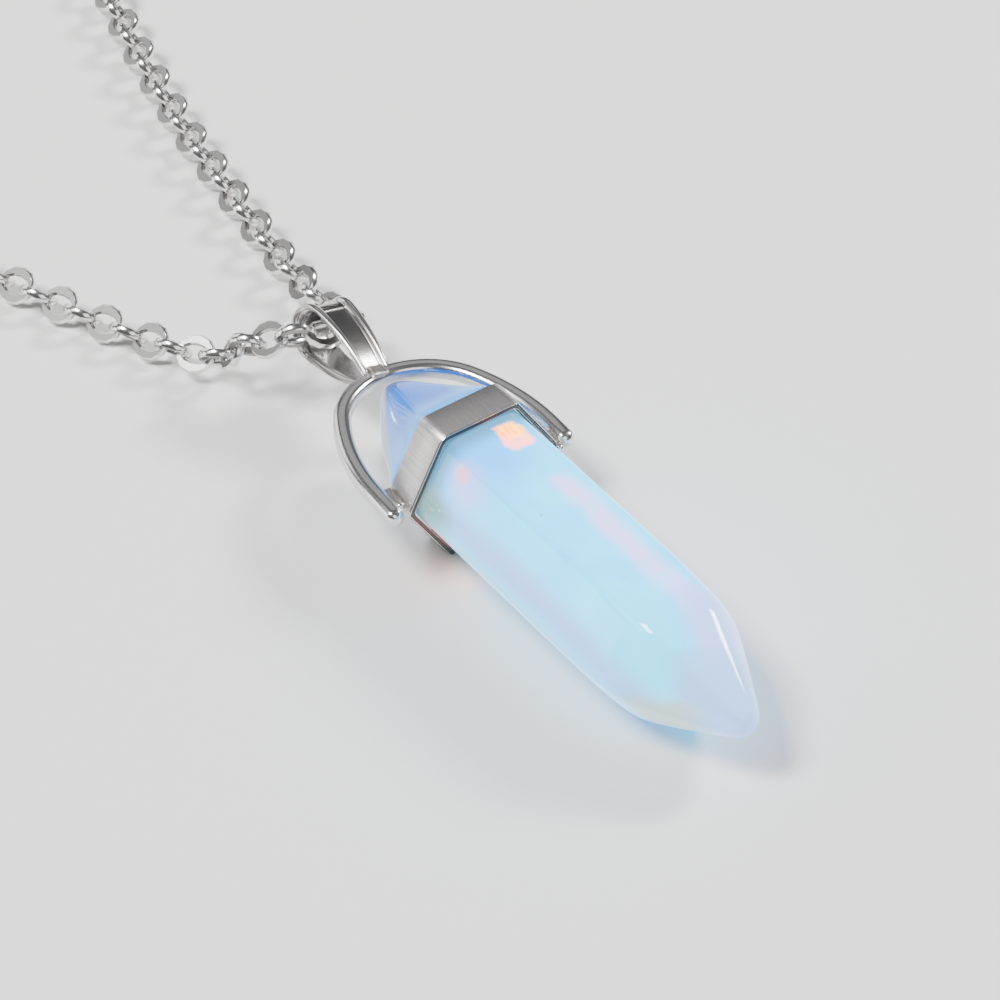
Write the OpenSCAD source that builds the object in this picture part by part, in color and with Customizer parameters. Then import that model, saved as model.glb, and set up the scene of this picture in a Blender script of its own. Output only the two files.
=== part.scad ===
// Crystal point pendant on a fine cable chain, lying on a flat surface.
// Lengths are in millimetres. +Y runs from the pendant towards the back of the neck, +Z is up.
// The pendant is drawn on its own axis, with the middle of its collar at zero, and is then laid down.

/* [Crystal point] */
// Length of the stone from end to end
stone_length = 31.5; // [26:0.5:40]
// Width of the stone across its flats
stone_flats = 7.3; // [6.5:0.1:8.5]
// Length of the long tip, from its shoulder to where its faces would meet
tip_length = 7.25; // [6:0.05:8.5]
// Radius of the worn end of the long tip
tip_radius = 1; // [0.6:0.05:1.2]
// Length of the short tip, which points at the bail
crown_length = 8; // [6.5:0.1:9]
// Radius of the worn end of the short tip
crown_radius = 0.9; // [0.5:0.05:1.1]
// How far the lower left edges of the short tip swell past straight ones
crown_swell = 0.3; // [0:0.05:0.4]
// Radius of the tumbled edges
edge_radius = 0.6; // [0.3:0.05:0.9]
// How far a corner of the long tip's shoulder strays from a regular one
shoulder_stray = 0.5; // [0:0.05:0.8]

/* [Collar] */
// Height of the collar band along the stone
collar_height = 2; // [1.4:0.1:3]
// Thickness of the collar's wall
collar_wall = 0.3; // [0.2:0.05:0.6]
// Gap between the stone and the collar
stone_gap = 0.05; // [0.03:0.01:0.15]
// Radius of the collar's corners
collar_corner = 0.5; // [0.2:0.05:0.8]

/* [Loop] */
// Thickness of the loop's wire
loop_wire = 0.95; // [0.8:0.05:1.3]
// Gap between a corner of the collar and the loop's leg, which solder fills
solder_gap = 0.35; // [0.1:0.05:0.6]
// Radius of the bead of solder beside the front end of each leg
solder_bead = 0.25; // [0.15:0.05:0.35]
// Distance from the middle of the collar to the middle of the loop's crown
loop_reach = 8.95; // [8:0.1:12]
// Straight part of a leg above the middle of the collar
leg_rise = 0.8; // [0.5:0.1:2]
// How far the left leg's round end stands past the front rim of the collar
left_overhang = 0.7; // [-0.5:0.05:0.9]
// How far the right leg's round end stands past that rim; it stops short of it
right_overhang = -0.4; // [-0.5:0.05:0.9]
// Bend radius of the loop's sides
side_bend = 12.4; // [11:0.2:15]
// Roll of the loop about the stone, in degrees
loop_roll = 4.2; // [0:0.1:8]
// Skew of the loop in its own plane, in degrees
loop_skew = 3.4; // [0:0.1:5]

/* [Bail] */
// Distance from the loop's crown to the far end of the bail
bail_length = 6.15; // [5.5:0.05:8]
// Radius of the bail's round far end
bail_radius = 1.6; // [1.5:0.05:2]
// Radius of the bail's narrow end, on the loop
bail_root = 0.54; // [0.4:0.02:0.7]
// Width of the bail at the loop
bail_root_width = 1.66; // [1.4:0.02:2]
// Width of the bail at its far end
bail_end_width = 2.72; // [2:0.02:3]
// How far the bail's two leaves bow out past straight ones
bail_bow = 0.25; // [0:0.01:0.4]
// Thickness of the folded sheet
bail_sheet = 0.3; // [0.2:0.02:0.35]
// Depth of the channel between the bail's two ridges
channel_depth = 0.12; // [0.05:0.01:0.2]
// Width of each ridge
ridge_width = 0.38; // [0.25:0.01:0.5]
// Pitch of the bail above the stone's axis, in degrees
bail_pitch = 2.3; // [0:0.1:6]
// Roll of the bail about the stone, in degrees
bail_roll = 14.7; // [0:0.1:18]

/* [Chain] */
// Thickness of the chain as it lies
chain_thickness = 2; // [1.8:0.05:2.1]
// Thickness of the chain where it passes through the bail
waist_thickness = 1; // [0.8:0.05:1.2]

/* [Clasp] */
// Thickness of the clasp
clasp_thickness = 1.6; // [1.2:0.1:2]
// Radius of the clasp's claw
claw_radius = 2.6; // [2.2:0.1:3]
// Width of the metal round the claw's opening
claw_rim = 1.1; // [0.8:0.05:1.3]
// Radius of the eye on the clasp's tail
eye_radius = 1.35; // [1.2:0.05:1.5]
// Radius of the hole in that eye
eye_hole = 0.75; // [0.6:0.05:0.9]
// Gap between the clasp and the ends of the chain
clasp_gap = 0.1; // [0.05:0.05:0.3]

/* [Hidden] */
round_fn = 64;
worn_fn = 32;

// The stone's place: its short tip stops under the loop's crown
crown_gap = 0.4;
crown_end_y = loop_reach - loop_wire / 2 - crown_gap;
tip_end_y = crown_end_y - stone_length;
stone_flat = stone_flats / 2;
hex_corner = 1 / cos(30);
tip_slope = atan(stone_flat / tip_length);
crown_slope = atan(stone_flat / crown_length);
tip_centre_y = tip_end_y + tip_radius;
crown_centre_y = crown_end_y - crown_radius;
tip_sharp_y = tip_centre_y - tip_radius / sin(tip_slope);
crown_sharp_y = crown_centre_y + crown_radius / sin(crown_slope);
tip_shoulder_y = tip_sharp_y + tip_length;
crown_shoulder_y = crown_sharp_y - crown_length;
// The balls that round off the stone's corners stand back from where its faces would meet
tip_back = edge_radius * tan(tip_slope / 2);
crown_back = edge_radius * tan(crown_slope / 2);
// Shares of the stray at the shoulder's six corners, counted from the right-hand one upwards
shoulder_shares = [1, -1, -0.8, 0, 1, 0];
lowest_share = min(shoulder_shares[4], shoulder_shares[5]);
// The corners whose edges swell on the short tip
swollen_corners = [3, 4];

// The collar
collar_inner = stone_flat + stone_gap;
collar_flat = collar_inner + collar_wall;
collar_tip = collar_flat * hex_corner - collar_corner * (hex_corner - 1);

// The loop: straight legs, two side arcs and a crown arc that meet tangent
loop_half = collar_tip + solder_gap + loop_wire / 2;
loop_rise = loop_reach - leg_rise;
crown_bend = (pow(side_bend, 2) - pow(side_bend - loop_half, 2) - pow(loop_rise, 2))
    / (2 * (side_bend - loop_rise));
side_centre = [loop_half - side_bend, leg_rise];
crown_centre = [0, loop_reach - crown_bend];
side_sweep = atan2(crown_centre[1] - side_centre[1], crown_centre[0] - side_centre[0]);
// The arcs stop this far short of their meeting, where a ball a little wider than the wire joins them
arc_seam = 0.04;
seam_swell = 0.01;
// Shares of the collar's height and of the wire's thickness that the solder joints take up
joint_height_share = 0.7;
joint_wire_share = 0.6;

// The bail in side view: a small root circle, a middle one and a large end circle, joined by tangents
bail_span = bail_length - bail_radius;
bow_share = 0.5;
bow_place = bail_span * bow_share;
bow_radius = bail_root + (bail_radius - bail_root) * bow_share + bail_bow;
// Distance from the middle of the loop's wire to the middle of the bail's root
bail_seat = 0.1;
// Share of the root's radius at which the channel starts
channel_share = 0.55;
// How far the channel's cut runs outside the bail
cut_margin = 1;
// The lump of solder between the bail and the loop: its length, its height and its sink
lump_length = 0.9;
lump_height = 0.5;
lump_sink = 0.1;

// How the pendant lies: on the collar's lower front edge and the lower shoulder of the stone
lowest_y = tip_shoulder_y + tip_back + shoulder_stray * lowest_share;
rest_tilt = atan((collar_flat - stone_flat) / (-lowest_y - collar_height / 2));
rest_height = collar_flat * cos(rest_tilt) + collar_height / 2 * sin(rest_tilt);

// The chain's route, measured from the middle of the collar, with the table at zero:
// from the clasp down the left strand, through the bail, and back up the right strand
chain_route = [
    [-7, 203.3, 1], [-16, 201.3, 1], [-25.5, 196.8, 1], [-33.5, 190.3, 1], [-39.5, 181.3, 1],
    [-43, 171.2, 1], [-43.8, 159.8, 1], [-42.6, 147, 1], [-39.6, 133, 1], [-35.6, 119, 1],
    [-31.6, 105, 1], [-27.6, 91, 1], [-23.5, 77, 1], [-19.4, 63.5, 1], [-15, 50, 1],
    [-11.2, 38, 1], [-8.1, 28.5, 1], [-5.8, 22.8, 1], [-4.6, 20.6, 1.05], [-3.7, 18.8, 1.4],
    [-3, 17.2, 2.2], [-2.7, 15.5, 3.5], [-1.6, 13.7, 4.9], [0, 13.6, 4.5], [1.5, 13.8, 4],
    [2.6, 15.2, 2.9], [2.5, 17, 1.8], [2.6, 18.8, 1.2], [2.7, 21, 1], [3.6, 24.6, 1],
    [4.8, 32.5, 1], [6.2, 40.3, 1], [8.9, 51.2, 1], [13, 64, 1], [17.4, 77.5, 1],
    [22, 91.5, 1], [26.6, 105.5, 1], [31.4, 119.5, 1], [36.2, 133.5, 1], [40.8, 147, 1],
    [43.65, 160.7, 1], [43.2, 172.2, 1], [39.4, 181.8, 1], [33.2, 190.2, 1], [25.5, 196.8, 1],
    [16, 201.3, 1], [7, 203.3, 1]
];
chain_sides = 8;
ring_spacing = 6.4;
side_stretch = 1 / cos(180 / chain_sides);
// The route's point in the middle of the bail, and how far from it the chain is thin and thick again
bail_point = [0, 13.6, 4.5];
thin_within = 2;
thick_beyond = 5;

// The clasp fills the gap between the chain's two ends
clasp_span = chain_route[len(chain_route) - 1][0] - chain_route[0][0] - 2 * clasp_gap;
clasp_y = chain_route[0][1];
// Shares of a radius at which the clasp's neck leaves its eye and its claw
eye_share = 0.8;
claw_share = 0.95;
// Shares of the opening's radius that set the narrow end of the claw's opening
mouth_reach = 0.6;
mouth_share = 0.35;

// The origin: on the table, under the middle of the whole necklace
far_y = clasp_y + claw_radius;
near_y = tip_centre_y * cos(rest_tilt) - tip_radius;
collar_place_y = -(far_y + near_y) / 2;

// A corner of a six-sided outline in the plane across the stone, counted from the right-hand one
function corner(flat, index) = flat * hex_corner * [cos(60 * index), sin(60 * index)];

// A point on the smooth curve through four route points, at a share of the way from b to c
function between(a, b, c, d, share) = 0.5 * (2 * b + (c - a) * share
    + (2 * a - 5 * b + 4 * c - d) * pow(share, 2) + (3 * b - a - 3 * c + d) * pow(share, 3));

// The route with points added where its own are far apart
function steps(a, b) = max(1, round(norm(b - a) / ring_spacing));
function smooth(route) = let (last = len(route) - 1) concat(
    [for (i = [0 : last - 1]) let (count = steps(route[i], route[i + 1])) for (k = [0 : count - 1])
        between(route[max(i - 1, 0)], route[i], route[i + 1], route[min(i + 2, last)], k / count)],
    [route[last]]);

function unit(v) = v / norm(v);

// The tube's radius at a point of the route
function thick_share(point) =
    min(1, max(0, (norm(point - bail_point) - thin_within) / (thick_beyond - thin_within)));
function tube_radius(point) = side_stretch / 2
    * (waist_thickness + (chain_thickness - waist_thickness) * thick_share(point));

// One ring of the chain's tube, square to the way the chain runs there
function ring(path, i) = let (
    last = len(path) - 1,
    along = unit(path[min(i + 1, last)] - path[max(i - 1, 0)]),
    side = unit(cross([0, 0, 1], along)),
    up = cross(along, side),
    radius = tube_radius(path[i])
) [for (k = [0 : chain_sides - 1]) let (turn = (k + 0.5) * 360 / chain_sides)
    path[i] + radius * (cos(turn) * side + sin(turn) * up)];

// Turns a profile drawn across the stone so that it is extruded along the stone's axis
module along_stone(from, length) {
    translate([0, from + length, 0])
        rotate([90, 0, 0])
            linear_extrude(length)
                children();
}

// Six-sided outline with round corners
module soft_hexagon(flat, radius) {
    inset = flat - radius;
    side = flat * tan(30);
    cut = radius * tan(30);
    for (i = [0 : 5])
        translate(corner(inset, i))
            circle(radius, $fn = round_fn);
    polygon([for (i = [0 : 5]) each [
        rotated([flat, side - cut], 60 * i - 30),
        rotated([flat, -side + cut], 60 * i + 30)
    ]]);
}

function rotated(p, turn) = [p[0] * cos(turn) - p[1] * sin(turn), p[0] * sin(turn) + p[1] * cos(turn)];

// The tumbled stone: one convex skin over a ball at each of its worn corners
module stone() {
    flat = stone_flat - edge_radius;
    hull() {
        for (i = [0 : 5]) {
            at = corner(flat, i);
            stray = shoulder_stray * shoulder_shares[i];
            translate([at[0], tip_shoulder_y + tip_back + stray, at[1]])
                sphere(edge_radius, $fn = worn_fn);
            translate([at[0], crown_shoulder_y - crown_back, at[1]])
                sphere(edge_radius, $fn = worn_fn);
        }
        for (i = swollen_corners) {
            at = corner(flat, i) / 2 + corner(crown_swell, i) / hex_corner;
            translate([at[0], (crown_shoulder_y - crown_back + crown_centre_y) / 2, at[1]])
                sphere((edge_radius + crown_radius) / 2, $fn = worn_fn);
        }
        translate([0, tip_centre_y, 0])
            sphere(tip_radius, $fn = worn_fn);
        translate([0, crown_centre_y, 0])
            sphere(crown_radius, $fn = worn_fn);
    }
}

// The six-sided band round the stone
module collar() {
    difference() {
        along_stone(-collar_height / 2, collar_height)
            soft_hexagon(collar_flat, collar_corner);
        along_stone(-collar_height, 2 * collar_height)
            soft_hexagon(collar_inner, collar_corner / 2);
    }
}

// A bent length of the loop's wire, drawn in the plane of the loop
module wire_arc(centre, bend, start, sweep) {
    translate([centre[0], centre[1], 0])
        rotate([0, 0, start])
            rotate_extrude(angle = sweep, $fn = round_fn * 2)
                translate([bend, 0])
                    circle(loop_wire / 2, $fn = round_fn);
}

// One side of the loop, from its crown's arc to the round end of its leg
module loop_side(overhang) {
    leg_end_y = -collar_height / 2 - overhang + loop_wire / 2;
    seam_turn = arc_seam / side_bend * 180 / PI;
    wire_arc(side_centre, side_bend, 0, side_sweep - seam_turn);
    translate(side_centre + side_bend * [cos(side_sweep), sin(side_sweep)])
        sphere(loop_wire / 2 + seam_swell, $fn = round_fn);
    translate([loop_half, leg_rise, 0])
        rotate([90, 0, 0])
            cylinder(leg_rise - leg_end_y, loop_wire / 2, loop_wire / 2, $fn = round_fn);
    translate([loop_half, leg_end_y, 0])
        sphere(loop_wire / 2, $fn = round_fn);
}

module loop() {
    crown_start = side_sweep + arc_seam / crown_bend * 180 / PI;
    rotate([0, loop_roll, -loop_skew]) {
        wire_arc(crown_centre, crown_bend, crown_start, 180 - 2 * crown_start);
        loop_side(right_overhang);
        mirror([1, 0, 0])
            loop_side(left_overhang);
    }
}

// The solder between a corner of the collar and the leg beside it, with a bead at its front
module solder_joint(side) {
    reach = solder_gap + collar_corner / 2 + loop_wire / 2;
    joint = [reach, collar_height * joint_height_share, loop_wire * joint_wire_share];
    translate([side * (loop_half - reach / 2), 0, 0])
        cube(joint, center = true);
    translate([side * (loop_half - loop_wire / 2 - solder_gap / 2), -joint[1] / 2, 0])
        sphere(solder_bead, $fn = worn_fn);
}

// The strip between two circles on the X axis, bounded by their outer tangents
module tangent_strip(from, from_radius, to, to_radius) {
    lean = asin((to_radius - from_radius) / (to - from));
    polygon([
        [from - from_radius * sin(lean), from_radius * cos(lean)],
        [to - to_radius * sin(lean), to_radius * cos(lean)],
        [to - to_radius * sin(lean), -to_radius * cos(lean)],
        [from - from_radius * sin(lean), -from_radius * cos(lean)]
    ]);
}

// Side view of the bail, drawn along +X from its root, shrunk by an inset
module bail_outline(inset) {
    end = bail_radius - inset;
    bow = bow_radius - inset;
    root = bail_root - inset;
    circle(root, $fn = round_fn);
    translate([bow_place, 0])
        circle(bow, $fn = round_fn);
    translate([bail_span, 0])
        circle(end, $fn = round_fn);
    tangent_strip(0, root, bow_place, bow);
    tangent_strip(bow_place, bow, bail_span, end);
}

// Plan view of the bail, which widens from its root to its far end
module bail_plan(inset) {
    root = bail_root_width / 2 - inset;
    end = bail_end_width / 2 - inset;
    polygon([
        [-root, -bail_root], [root, -bail_root],
        [end, bail_length], [-end, bail_length]
    ]);
}

// A bail outline turned to stand along the stone, as wide as the bail's widest part
module bail_block(inset) {
    rotate([90, 0, 90])
        linear_extrude(2 * bail_end_width, center = true)
            bail_outline(inset);
}

// A plan cut straight down through the bail
module bail_cut(inset) {
    linear_extrude(4 * bail_radius, center = true)
        bail_plan(inset);
}

module bail() {
    translate([0, loop_reach + bail_seat, 0])
        rotate([bail_pitch, bail_roll, 0])
            difference() {
                intersection() {
                    bail_block(0);
                    bail_cut(0);
                }
                bail_block(bail_sheet + channel_depth);
                // The channel runs over the front leaf and the far end
                intersection() {
                    difference() {
                        bail_block(-cut_margin);
                        bail_block(channel_depth);
                    }
                    bail_cut(ridge_width);
                    translate([-bail_end_width, bail_root * channel_share, -bail_radius / 2])
                        cube([2 * bail_end_width, bail_length, 2 * bail_length]);
                }
            }
}

// The lump of solder that holds the bail on the loop's crown
module crown_solder() {
    lump = [bail_root_width - 2 * ridge_width, lump_length, lump_height];
    translate([0, loop_reach, 0])
        rotate([0, bail_roll, 0])
            translate([0, 0, loop_wire / 2 - lump_sink])
                cube(lump, center = true);
}

// Lays the pendant down and puts it in its place in the whole necklace
module laid() {
    translate([0, collar_place_y, rest_height])
        rotate([rest_tilt, 0, 0])
            children();
}

module crystal_point() {
    color("lightcyan")
        laid()
            stone();
}

module setting() {
    color("silver")
        laid() {
            collar();
            loop();
            for (side = [-1, 1])
                rotate([0, loop_roll, -loop_skew])
                    solder_joint(side);
            bail();
            crown_solder();
        }
}

module chain() {
    path = smooth(chain_route);
    count = len(path);
    points = [for (i = [0 : count - 1]) each ring(path, i)];
    walls = [for (i = [0 : count - 2], k = [0 : chain_sides - 1]) let (next = (k + 1) % chain_sides)
        [i * chain_sides + next, i * chain_sides + k,
            (i + 1) * chain_sides + k, (i + 1) * chain_sides + next]];
    first_end = [for (k = [0 : chain_sides - 1]) k];
    last_end = [for (k = [chain_sides - 1 : -1 : 0]) (count - 1) * chain_sides + k];
    color("gainsboro")
        translate([0, collar_place_y, 0])
            polyhedron(points, concat([first_end], walls, [last_end]));
}

// The clasp: an eye, a neck and a closed claw, flat on the table
module clasp() {
    eye_x = -clasp_span / 2 + eye_radius;
    claw_x = clasp_span / 2 - claw_radius;
    opening = claw_radius - claw_rim;
    mouth_x = claw_x - claw_radius + opening * mouth_reach;
    color("silver")
        translate([0, collar_place_y + clasp_y, 0])
            linear_extrude(clasp_thickness)
                difference() {
                    union() {
                        translate([eye_x, 0])
                            circle(eye_radius, $fn = round_fn);
                        translate([claw_x, 0])
                            circle(claw_radius, $fn = round_fn);
                        polygon([
                            [eye_x, eye_radius * eye_share], [eye_x, -eye_radius * eye_share],
                            [claw_x, -claw_radius * claw_share], [claw_x, claw_radius * claw_share]
                        ]);
                    }
                    translate([eye_x, 0])
                        circle(eye_hole, $fn = round_fn);
                    translate([claw_x, 0])
                        circle(opening, $fn = round_fn);
                    polygon([
                        [claw_x, opening * claw_share], [claw_x, -opening * claw_share],
                        [mouth_x, -opening * mouth_share], [mouth_x, opening * mouth_share]
                    ]);
                }
}

crystal_point();
setting();
chain();
clasp();
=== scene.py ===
from math import atan2, cos, degrees, pi, radians, sin

import bmesh
import bpy
from bpy.props import FloatProperty, FloatVectorProperty, IntProperty, PointerProperty
from mathutils import Matrix, Vector


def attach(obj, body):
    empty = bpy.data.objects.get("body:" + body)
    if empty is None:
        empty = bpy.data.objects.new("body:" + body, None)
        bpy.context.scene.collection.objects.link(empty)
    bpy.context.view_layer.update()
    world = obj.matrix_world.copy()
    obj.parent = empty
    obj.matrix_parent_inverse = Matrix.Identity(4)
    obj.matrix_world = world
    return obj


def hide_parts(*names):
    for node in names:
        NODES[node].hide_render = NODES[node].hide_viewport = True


bl_info = {
    "name": "Crystal Point Pendant",
    "version": (1, 0, 0),
    "blender": (4, 5, 0),
    "location": "View3D > Sidebar > Pendant",
    "description": "Builds a crystal point pendant on its chain, piece by piece, over a packed frame",
    "category": "Object",
}

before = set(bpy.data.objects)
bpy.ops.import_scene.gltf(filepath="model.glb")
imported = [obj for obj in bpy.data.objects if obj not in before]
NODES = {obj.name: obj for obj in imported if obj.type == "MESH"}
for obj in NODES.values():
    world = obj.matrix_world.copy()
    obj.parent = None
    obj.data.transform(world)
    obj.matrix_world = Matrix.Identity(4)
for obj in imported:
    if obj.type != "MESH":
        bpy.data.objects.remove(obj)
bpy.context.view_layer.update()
MM = 0.001

# The pendant is drawn on its own axis with the middle of its collar at zero, and then laid down
COLLAR_PLACE_Y = -91.24
REST_HEIGHT = 4.021
REST_TILT = radians(1.233)
LAID = Matrix.Translation(Vector((0, COLLAR_PLACE_Y, REST_HEIGHT)) * MM) @ Matrix.Rotation(REST_TILT, 4, "X")

# The chain's route in millimetres, from the middle of the collar with the table at zero, and the
# roll of every other link there, in degrees
CHAIN_ROUTE = [
    (-7, 203.3, 1.1, 0), (-10.5, 203.2, 1.1, 0), (-16, 202, 1.1, 0), (-25.5, 197.2, 1.1, -20),
    (-33.5, 190.3, 1, -35), (-39.5, 181.3, 1, -45), (-43, 171.2, 1, -45), (-43.8, 159.8, 1, -45),
    (-42.6, 147, 1, -45), (-39.6, 133, 1, -45), (-35.6, 119, 1, -45), (-31.6, 105, 1, -45),
    (-27.6, 91, 1, -45), (-23.5, 77, 1, -45), (-19.4, 63.5, 1, -42), (-15, 50, 1, -42),
    (-11.2, 38, 1, -42), (-8.1, 28.5, 1, -42), (-5.9, 22.8, 1, -42), (-5.1, 20.4, 1.4, -35),
    (-4.1, 18.5, 1.5, -46), (-3.8, 17.5, 2.5, -40), (-3.4, 15.8, 4, -36), (-2, 14, 4.9, -24),
    (-1.1, 13.6, 4.9, -24), (0.7, 13.4, 4.4, -23), (1.3, 13.6, 3.9, -26), (2.6, 15.1, 2.4, -41),
    (2.6, 16.8, 1.6, -54), (2.9, 18.5, 1.6, -55), (3.1, 20.8, 1.4, -41), (3.6, 24.6, 1.05, -50),
    (4.8, 32.5, 1.05, -53), (6.2, 40.3, 1.05, -57), (8.9, 51.2, 1.05, -60), (13, 64, 1.05, -60),
    (17.4, 77.5, 1, -60), (22, 91.5, 1, -55), (26.6, 105.5, 1, -50), (31.4, 119.5, 1, -45),
    (36.2, 133.5, 1, -45), (40.8, 147, 1, -45), (43.65, 160.7, 1, -45), (43.2, 172.2, 1, -45),
    (39.4, 181.8, 1, -45), (33.2, 190.2, 1, -35), (25.5, 197.2, 1.1, -20), (16, 202, 1.1, 0),
    (10.5, 203.2, 1.1, 0), (7, 203.3, 1.1, 0),
]
# A link on each strand that faces the left, and how far in from the route's ends the links start
LEFT_LINK = (-9.2, 31.5, 1)
RIGHT_LINK = (4.55, 30.8, 1)
START_INSET, END_INSET = 0.91, 0.31


class StoneSettings(bpy.types.PropertyGroup):
    flats: FloatProperty(
        name="Width", description="Width of the stone across its flats, in millimetres",
        default=7.3, min=5, max=10)
    tip_end: FloatProperty(
        name="Tip", description="Distance from the collar to the end of the long tip, in millimetres",
        default=23.4, min=18, max=30)
    tip_shoulder: FloatProperty(
        name="Tip shoulder",
        description="Distance from the collar to the long tip's shoulder, in millimetres",
        default=17.4, min=12, max=22)
    crown_end: FloatProperty(
        name="Short tip", description="Distance from the collar to the end of the short tip, in millimetres",
        default=8.2, min=6, max=10)
    crown_shoulder: FloatProperty(
        name="Short shoulder",
        description="Distance from the collar to the short tip's shoulder, in millimetres",
        default=1.34, min=0.5, max=3)
    crown_swell: FloatProperty(
        name="Swell",
        description="How far the left of the short tip swells past a straight one, in millimetres",
        default=0.3, min=0, max=0.6)
    edge_round: FloatProperty(
        name="Edge rounding", description="Width of the tumbled edges, in millimetres",
        default=0.52, min=0.1, max=0.8)
    tip_soft: IntProperty(
        name="Tip softness", description="Rounds of smoothing that the long tip gets",
        default=22, min=0, max=90)
    crown_soft: IntProperty(
        name="Short tip softness", description="Rounds of smoothing that the short tip gets",
        default=180, min=0, max=200)
    crown_round: FloatProperty(
        name="Short tip rounding", description="Width of the short tip's rounded edges, in millimetres",
        default=0.38, min=0.1, max=0.8)
    # These colours are painted on the stone, and they glow from it as painted light
    core_colour: FloatVectorProperty(
        name="Core", description="Colour of the milky core",
        subtype="COLOR", default=(0.02, 0.52, 0.97), min=0, max=1)
    streak_colour: FloatVectorProperty(
        name="Streak", description="Colour of the pink streak on the right",
        subtype="COLOR", default=(0.44, 0.42, 0.88), min=0, max=1)
    veil_colour: FloatVectorProperty(
        name="Veil", description="Colour of the lilac veil on the left",
        subtype="COLOR", default=(0.17, 0.34, 0.66), min=0, max=1)
    crown_colour: FloatVectorProperty(
        name="Short tip", description="Colour of the short tip",
        subtype="COLOR", default=(0.0, 0.08, 0.37), min=0, max=1)
    # The orange glints by the collar are painted light, and glow
    glint_colour: FloatVectorProperty(
        name="Fire", description="Colour of the orange glints by the collar",
        subtype="COLOR", default=(1.0, 0.26, 0.0), min=0, max=1)


class CollarSettings(bpy.types.PropertyGroup):
    height: FloatProperty(
        name="Height", description="Height of the band along the stone, in millimetres",
        default=2.0, min=1, max=3)
    flat: FloatProperty(
        name="Half width", description="Distance from the stone's axis to a flat of the band, in millimetres",
        default=4.0, min=3, max=5)
    wall: FloatProperty(
        name="Wall", description="Thickness of the band, in millimetres",
        default=0.3, min=0.2, max=0.6)
    corner: FloatProperty(
        name="Corner rounding", description="Width of the bend at each corner, in millimetres",
        default=0.4, min=0.1, max=0.6)
    lip: FloatProperty(
        name="Lip", description="Width of the polished lip on the rims, in millimetres",
        default=0.1, min=0.02, max=0.14)
    front_round: FloatProperty(
        name="Front rounding", description="Rounding of the front rim's outer edge, in millimetres",
        default=0.1, min=0.02, max=0.2)
    recess: FloatProperty(
        name="Recess", description="Depth of the dark recess in the rims, in millimetres",
        default=0.07, min=0.02, max=0.25)


class LoopSettings(bpy.types.PropertyGroup):
    wire: FloatProperty(
        name="Wire", description="Thickness of the loop's wire, in millimetres",
        default=0.95, min=0.6, max=1.4)
    half: FloatProperty(
        name="Half width", description="Distance from the axis to the middle of a leg, in millimetres",
        default=5.366, min=4.8, max=6)
    reach: FloatProperty(
        name="Reach", description="Distance from the collar to the middle of the crown, in millimetres",
        default=8.95, min=7, max=11)
    rise: FloatProperty(
        name="Straight leg",
        description="Straight part of each leg above the collar's middle, in millimetres",
        default=0.8, min=0, max=2)
    side_bend: FloatProperty(
        name="Side bend", description="Bend radius of the loop's sides, in millimetres",
        default=12.4, min=11, max=15)
    left_end: FloatProperty(
        name="Left end", description="How far the left leg reaches below the collar's middle, in millimetres",
        default=1.7, min=0, max=3)
    right_end: FloatProperty(
        name="Right end",
        description="How far the right leg reaches below the collar's middle, in millimetres",
        default=0.6, min=0, max=3)
    roll: FloatProperty(
        name="Roll", description="Roll of the loop about the stone",
        subtype="ANGLE", default=radians(4.2))
    skew: FloatProperty(
        name="Skew", description="Skew of the loop in its own plane",
        subtype="ANGLE", default=radians(3.4))


class BailSettings(bpy.types.PropertyGroup):
    root_width: FloatProperty(
        name="Root width", description="Width of the bail at the loop, in millimetres",
        default=1.66, min=1, max=2.5)
    end_width: FloatProperty(
        name="End width", description="Width of the bail at its far end, in millimetres",
        default=2.72, min=1.5, max=3.5)
    sheet: FloatProperty(
        name="Sheet", description="Thickness of the folded sheet, in millimetres",
        default=0.34, min=0.15, max=0.4)
    channel: FloatProperty(
        name="Channel depth", description="Depth of the channel between the ridges, in millimetres",
        default=0.24, min=0.05, max=0.3)
    seat: FloatProperty(
        name="Seat",
        description="Distance from the loop's crown to the middle of the bail's root, in millimetres",
        default=0.1, min=0, max=0.5)
    pitch: FloatProperty(
        name="Pitch", description="Pitch of the bail above the stone's axis",
        subtype="ANGLE", default=radians(2.3))
    roll: FloatProperty(
        name="Roll", description="Roll of the bail about the stone",
        subtype="ANGLE", default=radians(14.7))


class ChainSettings(bpy.types.PropertyGroup):
    link_length: FloatProperty(
        name="Link length", description="Length of a link, in millimetres",
        default=2.36, min=1.5, max=4)
    link_width: FloatProperty(
        name="Link width", description="Width of a link, in millimetres",
        default=2.2, min=1.2, max=3)
    hole_length: FloatProperty(
        name="Hole length", description="Length of the hole in a link, in millimetres",
        default=1.7, min=1, max=3)
    hole_width: FloatProperty(
        name="Hole width", description="Width of the hole in a link, in millimetres",
        default=1.0, min=0.6, max=2)
    thickness: FloatProperty(
        name="Thickness", description="Thickness of a link, in millimetres",
        default=0.42, min=0.2, max=0.8)
    rim: FloatProperty(
        name="Link rim", description="Width of the rounded rims of a link, in millimetres",
        default=0.1, min=0.05, max=0.2)
    pitch: FloatProperty(
        name="Pitch", description="Distance from one link to the next, in millimetres",
        default=1.575, min=1, max=2)
    wobble: FloatProperty(
        name="Wobble", description="How far a link rolls off the even quarter turns, in degrees",
        default=2, min=0, max=12)
    ring_radius: FloatProperty(
        name="End ring radius",
        description="Radius of the end rings to the middle of their wire, in millimetres",
        default=1.2, min=0.9, max=1.3)
    ring_wire: FloatProperty(
        name="End ring wire", description="Thickness of the end rings' wire, in millimetres",
        default=0.44, min=0.3, max=0.6)


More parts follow.
